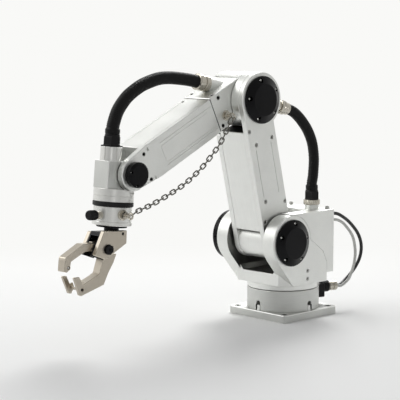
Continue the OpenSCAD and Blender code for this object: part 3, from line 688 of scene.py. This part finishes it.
class ARM_OT_covers(bpy.types.Operator):
    """Black covers and caps of the shoulder, the elbow and the wrist"""
    bl_idname = "arm.covers"
    bl_label = "Covers"

    def execute(self, context):
        cover("shoulder_cover", SHOULDER_AXIS @ moved(0, 80, 0) @ ALONG_Y, "turret", 22)
        cover("elbow_cover", ELBOW_AXIS @ moved(0, 45, 0) @ ALONG_Y, "upper_arm", 5)
        cover("wrist_cover", WRIST_AXIS @ moved(0, 13, 0) @ ALONG_Y, "forearm", -46, 24, 15, 19.6, 11.6, 4,
            20.4, 1.3)
        bm, cuts = bmesh.new(), bmesh.new()
        far = SHOULDER_AXIS @ moved(0, -80, 0) @ AGAINST_Y
        turned(bm, far, [(50.4, 0), (51, 0.6), (51, 15.6), (50.2, 16.6), (47, 20), (41, 20), (40, 19),
            (6, 19)], 96)
        for k in range(8):
            turned(cuts, far @ turned_about("Z", 45 * k) @ moved(48.6, 0, 9) @ turned_about("Y", 90),
                   [(2.1, 0), (2.1, 8)], 20)
        finished("shoulder_cap_turned", machined(bm, 0, cuts), "turret", "black", ["shoulder_cap"],
            bend=20)
        lathe("elbow_cap_turned", "forearm", ELBOW_AXIS @ moved(0, -59, 0) @ AGAINST_Y,
              [(46.4, 0), (47, 0.6), (46.6, 3), (43.8, 8.2), (42.6, 9), (36, 9), (35, 8.2),
               (6, 8.2)], "black", ["elbow_cap"], 96, bend=20)
        lathe("wrist_cap_far_turned", "forearm", WRIST_AXIS @ moved(0, -59, 0) @ AGAINST_Y,
              [(26, 0), (25.6, 1.6), (19, 14.4), (17.6, 15.8), (9, 16), (8.4, 15),
               (2, 15)], "turned_y", ["wrist_cap_far"], bend=24)
        return {"FINISHED"}


def nut(bm, place, low, high, across, lead=1.4):
    """A hexagon nut with its corners turned off at both ends."""
    turned(bm, place, [(across * 0.96, low), (across * 1.02, low, "hex"), (across, low + lead, "hex"),
                       (across, high - lead, "hex"), (across * 0.97, high, "hex"), (across * 0.8, high)], 48)


def eye(bm, place):
    """The ring of an eye bolt."""
    turned(bm, place @ turned_about("Y", 90),
           [(5.5 + u, v) for u, v in (polar(1.8, a) for a in range(0, 360, 30))], 32, True)


class ARM_OT_glands(bpy.types.Operator):
    """Hose glands and fittings: housing, elbow, forearm and wrist"""
    bl_idname = "arm.glands"
    bl_label = "Glands and fittings"

    def execute(self, context):
        lathe("housing_gland_turned", "turret", GLAND,
              [(13, 9), (16.4, 9.2), (17, 10, "ribs", 0.7), (17, 18.2, "ribs", 0.7), (16.2, 19), (14, 19.4),
               (12, 19.6)], "nickel", ["housing_gland"], 96)
        bm = bmesh.new()
        turned(bm, GLAND, [(14.2, 19.2), (14.2, 21), (13.6, 21.4)], 48)
        nut(bm, GLAND @ turned_about("Z", 14), 21, 36, 13.6)
        turned(bm, GLAND, [(13.4, 35.8), (13, 38.6), (12, 40)], 48)
        lathe("housing_gland_seat", "turret", GLAND,
              [(14.6, 0), (14.6, 8.6), (14, 9.1), (10, 9.2)], "turned_z", steps=96)
        finished("housing_gland_nut", bm, "turret", "nylon")
        bm = bmesh.new()
        turned(bm, TOWER, [(17, 49), (17, 51.4), (16.4, 52), (14, 52.2)], 64)
        nut(bm, TOWER @ turned_about("Z", 16), 52, 68, 14.8)
        turned(bm, TOWER, [(14.2, 67.8), (14.2, 71.4), (13, 73)], 64)
        finished("wrist_gland_turned", bm, "wrist", "nylon", ["wrist_gland"])
        lathe("elbow_fitting_turned", "upper_arm", PORT,
              [(11.4, 50), (11.4, 65), (13.8, 65.4), (14.5, 66), (14.5, 71.4), (13.9, 72), (13.5, 72.4),
               (13.5, 73), (13.9, 73.4), (14.5, 74), (14.5, 79), (13.9, 79.8), (12.2, 80.2), (12.2, 81.6),
               (12.6, 82), (12.6, 90.4), (12, 91.5)], "nickel", ["elbow_fitting"])
        lathe("socket_fitting_turned", "forearm", SOCKET,
              [(15.4, 42), (16.5, 42.6), (16.5, 52.6), (15.9, 53.4), (14.9, 53.8), (14.9, 55.2), (15.9, 55.6),
               (16.5, 56.4), (16.5, 68), (15.9, 69), (13.6, 70)], "nickel", ["socket_fitting"])
        return {"FINISHED"}


# ------------------------------------------------------------------ upper arm
class ARM_OT_upper_arm(bpy.types.Operator):
    """Shoulder hub, side plates, panels and elbow boss"""
    bl_idname = "arm.upper_arm"
    bl_label = "Upper arm"

    def execute(self, context):
        heads, near, far = bmesh.new(), bmesh.new(), bmesh.new()
        spots = [(33, 240), (20, 209), (-26, 212), (20, 91), (-34, 75), (30.5, 51)]
        sunk_screws(near, heads, UPPER, [(f, 45, u) for f, u in spots], NEAR)
        sunk_screws(far, heads, UPPER, [(f, -45, min(u, 218)) for f, u in spots], FAR)
        for cuts, low, high in ((near, 43.8, 47), (far, -47, -43.8)):
            block(cuts, UPPER, (22.4, low, 100), (23.6, high, 200))
            block(cuts, UPPER, (-21.6, low, 98), (-20.4, high, 204))
        plain("shoulder_hub", "upper_arm", finish="turned_y", chamfer=0.6)
        plain("side_plate_near", "upper_arm", cuts=near, chamfer=0.9)
        plain("side_plate_far", "upper_arm", cuts=far, chamfer=0.9)
        plain("front_panel", "upper_arm", finish="panel", chamfer=0.6)
        plain("back_panel", "upper_arm", finish="panel", chamfer=0.6)
        plain("elbow_boss", "upper_arm", finish="turned_y", chamfer=0.4)
        # Painted shade: black sheets in the seal finish close the opening under the elbow boss, where the
        # inside of the upper arm lies in shade.
        painted_shade_sheets = bmesh.new()
        under = [(8, 237)] + [(f, 292 - math.sqrt(55.7 ** 2 - f * f)) for f in (0, -10, -20, -28, -34)]
        drawn(painted_shade_sheets, UPPER, [(-34, 222), (34, 222), (34, 237)] + under, -32.7, 32.8)
        drawn(painted_shade_sheets, UPPER, [(-34, 231.8), (34, 231.8), (34, 237)] + under, -44.6, -32.9)
        finished("upper_arm_painted_shade", machined(painted_shade_sheets, 0.5), "upper_arm", "seal")
        finished("upper_arm_screws", heads, "upper_arm", "screw")
        return {"FINISHED"}


# ------------------------------------------------------------------ forearm
class ARM_OT_forearm(bpy.types.Operator):
    """Elbow block, forearm beam with its fork, hose socket and chain anchor"""
    bl_idname = "arm.forearm"
    bl_label = "Forearm"

    def execute(self, context):
        heads, block_cuts, beam_cuts = bmesh.new(), bmesh.new(), bmesh.new()
        for side, out in ((13, NEAR), (-59, FAR)):
            sunk_screws(block_cuts, heads, FORE, [(77.4, side, 43.6), (88.6, side, -11.9)], out)
            sunk_screws(beam_cuts, heads, FORE, [(294, side, 38.5), (298, side, -13)], out, 2.8, 3.8)
            inner = side - out[1] * 1.6
            low, high = sorted((inner, side + out[1] * 2))
            for a, v in ((282, 42.6), (287, -16.3)):
                drawn(beam_cuts, FORE, round_slot(a - 1.9, v - 3.6, a + 1.9, v + 3.6, 1.5, 4),
                      low - 2 * (out[1] > 0), high + 2 * (out[1] < 0))
            inner = side - out[1] * 0.7
            low, high = sorted((inner, side + out[1] * 2))
            line = [(246 + u, 28 + v) for r, turns in ((4.4, (90, 0)), (3.6, (0, 90)))
                    for u, v in (polar(r, turns[0] + (turns[1] - turns[0]) * k / 6) for k in range(7))]
            line = line[:7] + [(p, 29 - v) for p, v in reversed(line[:7])] + [(116, -3.4), (116, -2.6)] \
                + [(p, 29 - v) for p, v in reversed(line[7:])] + line[7:] + [(116, 31.6), (116, 32.4)]
            drawn(beam_cuts, FORE, line, low, high)
        sunk_screws(block_cuts, heads, FORE, [(85, 5, 53), (85, -51, 53)], UP, 2.6, 3.4)
        sunk_screws(beam_cuts, heads, FORE, [(114, -50, 51)], UP, 2.4, 3.2)
        for y in (4.6, -50.6):
            block(beam_cuts, FORE, (122, y - 0.5, 50.2), (280, y + 0.5, 53))
        plain("elbow_block", "forearm", cuts=block_cuts, chamfer=1.2)
        plain("forearm_beam", "forearm", cuts=beam_cuts, chamfer=1.2)
        plain("hose_socket", "forearm", finish="turned_y", chamfer=0)
        finished("forearm_screws", heads, "forearm", "oxide")
        gasket = bmesh.new()
        block(gasket, FORE, (98.1, -58.9, -18.9), (100.6, 12.9, 50.95))
        finished("block_gasket", gasket, "forearm", "seal")
        bm, at = bmesh.new(), FORE @ moved(74, 13, 3) @ ALONG_Y
        turned(bm, at, [(9.6, 0), (10, 0.4), (10, 2), (9.6, 2.5), (6.5, 2.6)], 48)
        nut(bm, at, 2.5, 8.6, 6.3, 0.8)
        turned(bm, at, [(3.4, 8.4), (3, 9), (3, 14.2), (3.6, 14.6)], 32)
        eye(bm, FORE @ moved(74, 32, 3))
        finished("chain_anchor_turned", bm, "forearm", "nickel", ["chain_anchor"])
        return {"FINISHED"}


# ------------------------------------------------------------------ wrist
class ARM_OT_wrist(bpy.types.Operator):
    """Wrist block with its tower, seal, tool barrel, lock knob and eye bolt"""
    bl_idname = "arm.wrist"
    bl_label = "Wrist"

    def execute(self, context):
        heads = bmesh.new()
        bm = bmesh.new()
        block(bm, TOOL, (-14, -20.5, -28.6), (52, 20.5, 23))
        # Painted shade: the block takes the wrist finish, the arm's aluminium painted darker.
        finished("wrist_block_machined", machined(bm, 0.9), "wrist", "wrist", ["wrist_block"],
                 edge="edge")
        bm, cuts = bmesh.new(), bmesh.new()
        turned(bm, BARREL, [(20, -28), (37.3, -28), (38, -28.7), (38, -40.2), (37.3, -40.6), (37.3, -41.4),
                            (38, -41.8), (38, -51.8), (37.3, -52.5), (20, -52.5)], 96)
        for out in (NEAR, FAR):
            turned(cuts, facing(TOOL, (0, 20.5 * out[1], 0), out), [(37, 0), (37, 30)], 96)
        finished("wrist_ring_turned", machined(bm, 0, cuts), "wrist", "turned_tool",
            ["wrist_block"])
        bm, cuts = bmesh.new(), bmesh.new()
        turned(bm, TOWER, [(20.5, 21), (20.5, 48.2), (19.7, 49), (15, 49), (15, 48)], 96)
        for a in (17, 78, 197, 258):
            block(cuts, TOWER @ turned_about("Z", a), (19, -1.2, 24.5), (22, 1.2, 50))
        finished("wrist_tower_turned", machined(bm, 0, cuts), "wrist", "turned_tool",
            ["wrist_block"])
        for k in range(4):
            at = TOWER @ turned_about("Z", 45 + 90 * k) @ moved(18.4, 0, 48.9)
            cap_screw(heads, at, 1.9, 2.4, 11 * k)
        lathe("wrist_seal_turned", "wrist", BARREL,
              [(36, -61), (37.8, -60.6), (38.4, -60), (38.4, -53.6), (37.8, -53),
               (36, -52.5)], "seal", ["wrist_seal"], 96)
        plain("tool_barrel", "wrist", finish="turned_tool", chamfer=0.8)
        lathe("lock_knob_turned", "wrist", KNOB,
              [(5.4, 46), (5.4, 47.6), (8.6, 48), (9.4, 49.2, "ribs", 0.9), (9.4, 63, "ribs", 0.9),
               (8.8, 66, "ribs", 0.5), (7.0, 67.4), (5.2, 67.6), (4.6, 67)],
               "nylon", ["lock_knob"], 72)
        lathe("knob_ferrule", "wrist", KNOB,
              [(6.2, 30), (7.3, 36.5), (7.3, 41), (6.7, 41.5), (6.1, 41.8), (6.1, 43), (6.7, 43.3),
               (7.3, 43.8), (7.3, 48.2), (6.6, 48.9), (5, 49)], "nickel", ["lock_knob"], 48)
        bm, at = bmesh.new(), BARREL @ moved(6, 0, -75) @ ALONG_Y
        turned(bm, at, [(9.4, 33), (10, 36), (10, 38.4), (9.4, 39), (6.5, 39.1)], 48)
        nut(bm, at, 39, 46.6, 6.4, 0.8)
        turned(bm, at, [(3.6, 46.4), (3, 47.2), (3, 54), (3.6, 54.6)], 32)
        eye(bm, BARREL @ moved(6, 59, -75))
        finished("barrel_eye_turned", bm, "wrist", "nickel", ["barrel_eye"])
        finished("tower_screws", heads, "wrist", "oxide")
        return {"FINISHED"}


# ------------------------------------------------------------------ gripper
class ARM_OT_gripper(bpy.types.Operator):
    """Adapter, body, cheeks and pivot of the gripper"""
    bl_idname = "arm.gripper"
    bl_label = "Gripper"

    def execute(self, context):
        plain("tool_adapter", "gripper", "black", "black_edge", chamfer=0.6)
        under = bmesh.new()
        outline = [(4, -134.6), (26.6, -147.9), (47.4, -160), (75.4, -152.4), (90, -149), (90, -175),
            (4, -175)]
        drawn(under, TOOL, outline, -40, 40)
        plain("gripper_body", "gripper", "black", "black_edge", chamfer=0.6, cuts=under)
        pins = bmesh.new()
        for node, y, out in (("cheek_near", 24.5, NEAR), ("cheek_far", -24.5, FAR)):
            cuts = bmesh.new()
            at = facing(TOOL, (9.8, y, -111 if y > 0 else -116), out)
            turned(cuts, at, [(2.9, -4), (2.9, 2)], 24)
            turned(pins, at, [(2.3, -4.4), (2.3, -1.4), (1.9, -1)], 20)
            plain(node, "gripper", "claw", "claw_edge", chamfer=1.0, cuts=cuts)
        finished("cheek_pins", pins, "gripper", "oxide")
        bm, tip = bmesh.new(), bmesh.new()
        turned(bm, TOOL @ moved(CLAW_X, -30, CLAW_Z) @ ALONG_Y, [(4.9, 0), (4.9, 60)], 32)
        for y, out in ((24.5, ALONG_Y), (-24.5, AGAINST_Y)):
            at = TOOL @ moved(CLAW_X, y, CLAW_Z) @ out @ turned_about("Z", 12)
            turned(bm, at, [(9.6, 0), (9.6, 1.2), (8.4, 1.4), (8.5, 1.6, "hex"), (8.5, 5, "hex"), (7.9, 6),
                            (4.6, 6), (4.4, 4.2), (2, 4.2)], 48)
            turned(tip, at, [(3.9, 4), (3.9, 5), (3.4, 5.5), (1.2, 5.5)], 24)
        finished("pivot_bolt_turned", bm, "gripper", "oxide", ["pivot_bolt"])
        finished("pivot_tips", tip, "gripper", "oxide")
        return {"FINISHED"}


class ARM_OT_claws(bpy.types.Operator):
    """The two claws, with the pins of their jaws"""
    bl_idname = "arm.claws"
    bl_label = "Claws"

    def execute(self, context):
        cuts, pins = bmesh.new(), bmesh.new()
        at = facing(TOOL, (86.6, 10, -215.5), NEAR)
        turned(cuts, at, [(3.5, -2.5), (3.5, 2)], 24)
        turned(pins, at, [(2.3, -3), (2.3, -1.4), (1.9, -1)], 20)
        plain("rear_claw", "rear_finger", "claw", "claw_edge", chamfer=0.8, cuts=cuts)
        finished("rear_claw_pin", pins, "rear_finger", "oxide")
        cuts, pins = bmesh.new(), bmesh.new()
        for y, out in ((10, NEAR), (-10, FAR)):
            at = facing(TOOL, (122, y, -174), out)
            turned(cuts, at, [(3.4, -2.5), (3.4, 2)], 24)
            turned(pins, at, [(2.2, -3), (2.2, -0.8), (1.8, -0.4)], 20)
        plain("front_claw", "front_finger", "claw", "claw_edge", chamfer=0.8, cuts=cuts)
        finished("front_claw_pin", pins, "front_finger", "screw")
        return {"FINISHED"}


# ------------------------------------------------------------------ studio
def wall(tree, way):
    """White on the wall behind the arm, dimmer round to the near side of the room."""
    ahead = add(tree, "VectorMath", {0: way}, operation="NORMALIZE").outputs[0]
    lean = add(tree, "VectorMath", {0: ahead, 1: (-0.155, -0.275, 0.0)},
        operation="DOT_PRODUCT").outputs["Value"]
    return add(tree, "MapRange", {"Value": lean, "From Min": -0.316, "From Max": 0.255, "To Min": 0.46,
                                    "To Max": 1.0}).outputs["Result"]


def seen(tree):
    """1 for the rays that show the room itself: straight, mirrored or through glass."""
    ray = add(tree, "LightPath").outputs
    direct = add(tree, "Math", {0: ray["Is Camera Ray"], 1: ray["Is Glossy Ray"]},
        operation="MAXIMUM").outputs[0]
    return add(tree, "Math", {0: direct, 1: ray["Is Transmission Ray"]}, operation="MAXIMUM").outputs[0]


class ARM_OT_studio(bpy.types.Operator):
    """Pale floor, white room and soft studio lamps"""
    bl_idname = "arm.studio"
    bl_label = "Studio"

    def execute(self, context):
        white = linear("#f9f9f7")
        floor = bmesh.new()
        bmesh.ops.create_circle(floor, cap_ends=True, segments=96, radius=40.0)
        ground = scene_object("studio_floor", floor, 1)
        paint = bpy.data.materials.new("matt_white_floor_paint")
        tree = empty_tree(paint)
        # White paint: shows its own shading under the arm, and turns into the white room further out.
        at = add(tree, "TexCoord").outputs["Object"]
        away = add(tree, "VectorMath", {0: at}, operation="LENGTH")
        behind = add(tree, "VectorMath", {0: at, 1: (-0.69, -0.72, 0.0)}, operation="DOT_PRODUCT")
        fade = [add(tree, "MapRange", {"Value": way.outputs["Value"], "From Min": near, "From Max": far},
                    interpolation_type="SMOOTHSTEP").outputs["Result"]
                for way, near, far in ((away, 1.0, 3.2), (behind, 0.15, 0.9))]
        fade = add(tree, "Math", {0: fade[0], 1: fade[1]}, operation="MAXIMUM")
        lit = add(tree, "BsdfDiffuse", {"Color": linear("#eeeeec")})
        room = add(tree, "Emission", {"Color": white, "Strength": wall(tree, at)})
        far = add(tree, "MixShader", {0: fade.outputs[0], 1: lit.outputs[0], 2: room.outputs[0]})
        mix = add(tree, "MixShader", {0: seen(tree), 1: lit.outputs[0], 2: far.outputs[0]})
        add(tree, "OutputMaterial", {"Surface": mix.outputs[0]})
        ground.data.materials[0] = paint

        world = bpy.data.worlds.new("white_room")
        context.scene.world = world
        tree = empty_tree(world)
        way = add(tree, "TexCoord").outputs["Generated"]
        height = add(tree, "SeparateXYZ", {0: way}).outputs["Z"]
        # The room is white at eye level and darker towards its ceiling, which gives round metal its shading.
        ceiling = add(tree, "MapRange", {"Value": height, "From Min": 0.2, "From Max": 0.9, "To Min": 1.0,
                                         "To Max": 0.75}, interpolation_type="SMOOTHSTEP")
        both = add(tree, "Math", {0: ceiling.outputs["Result"], 1: wall(tree, way)}, operation="MULTIPLY")
        pale = add(tree, "Background", {"Color": white, "Strength": both.outputs[0]})
        gives = add(tree, "Background", {"Color": linear("#fbfcff"), "Strength": 0.45})
        mix = add(tree, "MixShader", {0: seen(tree), 1: gives.outputs[0], 2: pale.outputs[0]})
        add(tree, "OutputWorld", {"Surface": mix.outputs[0]})

        for name, at, to, size, power in (
                ("key_softbox", (-1.9, -1.4, 2.5), (0.15, 0.0, 0.2), (1.5, 1.5), 75),
                ("fill_softbox", (1.9, -1.7, 2.3), (0.3, 0.0, 0.1), (2.6, 2.6), 34),
                ("strip_softbox", (2.5, 2.9, 1.2), (0.2, 0.0, 0.25), (0.3, 1.5), 5)):
            data = bpy.data.lights.new(name, "AREA")
            data.shape, data.energy = "RECTANGLE", power
            data.size, data.size_y = size
            lamp = shown(name, data)
            lamp.location = at
            lamp.rotation_euler = (Vector(to) - Vector(at)).to_track_quat("-Z", "Y").to_euler()
        context.scene.view_settings.view_transform = "Standard"
        return {"FINISHED"}


OPERATORS = (ARM_OT_camera, ARM_OT_lines, ARM_OT_chain, ARM_OT_base, ARM_OT_supply, ARM_OT_turret,
             ARM_OT_covers, ARM_OT_glands, ARM_OT_upper_arm, ARM_OT_forearm, ARM_OT_wrist, ARM_OT_gripper,
             ARM_OT_claws, ARM_OT_studio)


class ARM_PT_panel(bpy.types.Panel):
    """Lists the arm's settings and the steps that build it"""
    bl_label = "Manipulator arm"
    bl_idname = "ARM_PT_panel"
    bl_space_type = "VIEW_3D"
    bl_region_type = "UI"
    bl_category = "Arm"

    def draw(self, context):
        for group in (context.scene.arm_tones, context.scene.arm_sizes):
            for name in type(group).__annotations__:
                self.layout.prop(group, name)
        for step in OPERATORS:
            self.layout.operator(step.bl_idname)


CLASSES = (ArmTones, ArmSizes, *OPERATORS, ARM_PT_panel)


def register():
    for made in CLASSES:
        bpy.utils.register_class(made)
    bpy.types.Scene.arm_tones = bpy.props.PointerProperty(type=ArmTones)
    bpy.types.Scene.arm_sizes = bpy.props.PointerProperty(type=ArmSizes)


def unregister():
    del bpy.types.Scene.arm_sizes, bpy.types.Scene.arm_tones
    for made in reversed(CLASSES):
        bpy.utils.unregister_class(made)


def main():
    register()
    make_finishes(bpy.context.scene.arm_tones)
    for step in OPERATORS:
        getattr(bpy.ops.arm, step.bl_idname.split(".")[1])()


if __name__ == "__main__":
    main()
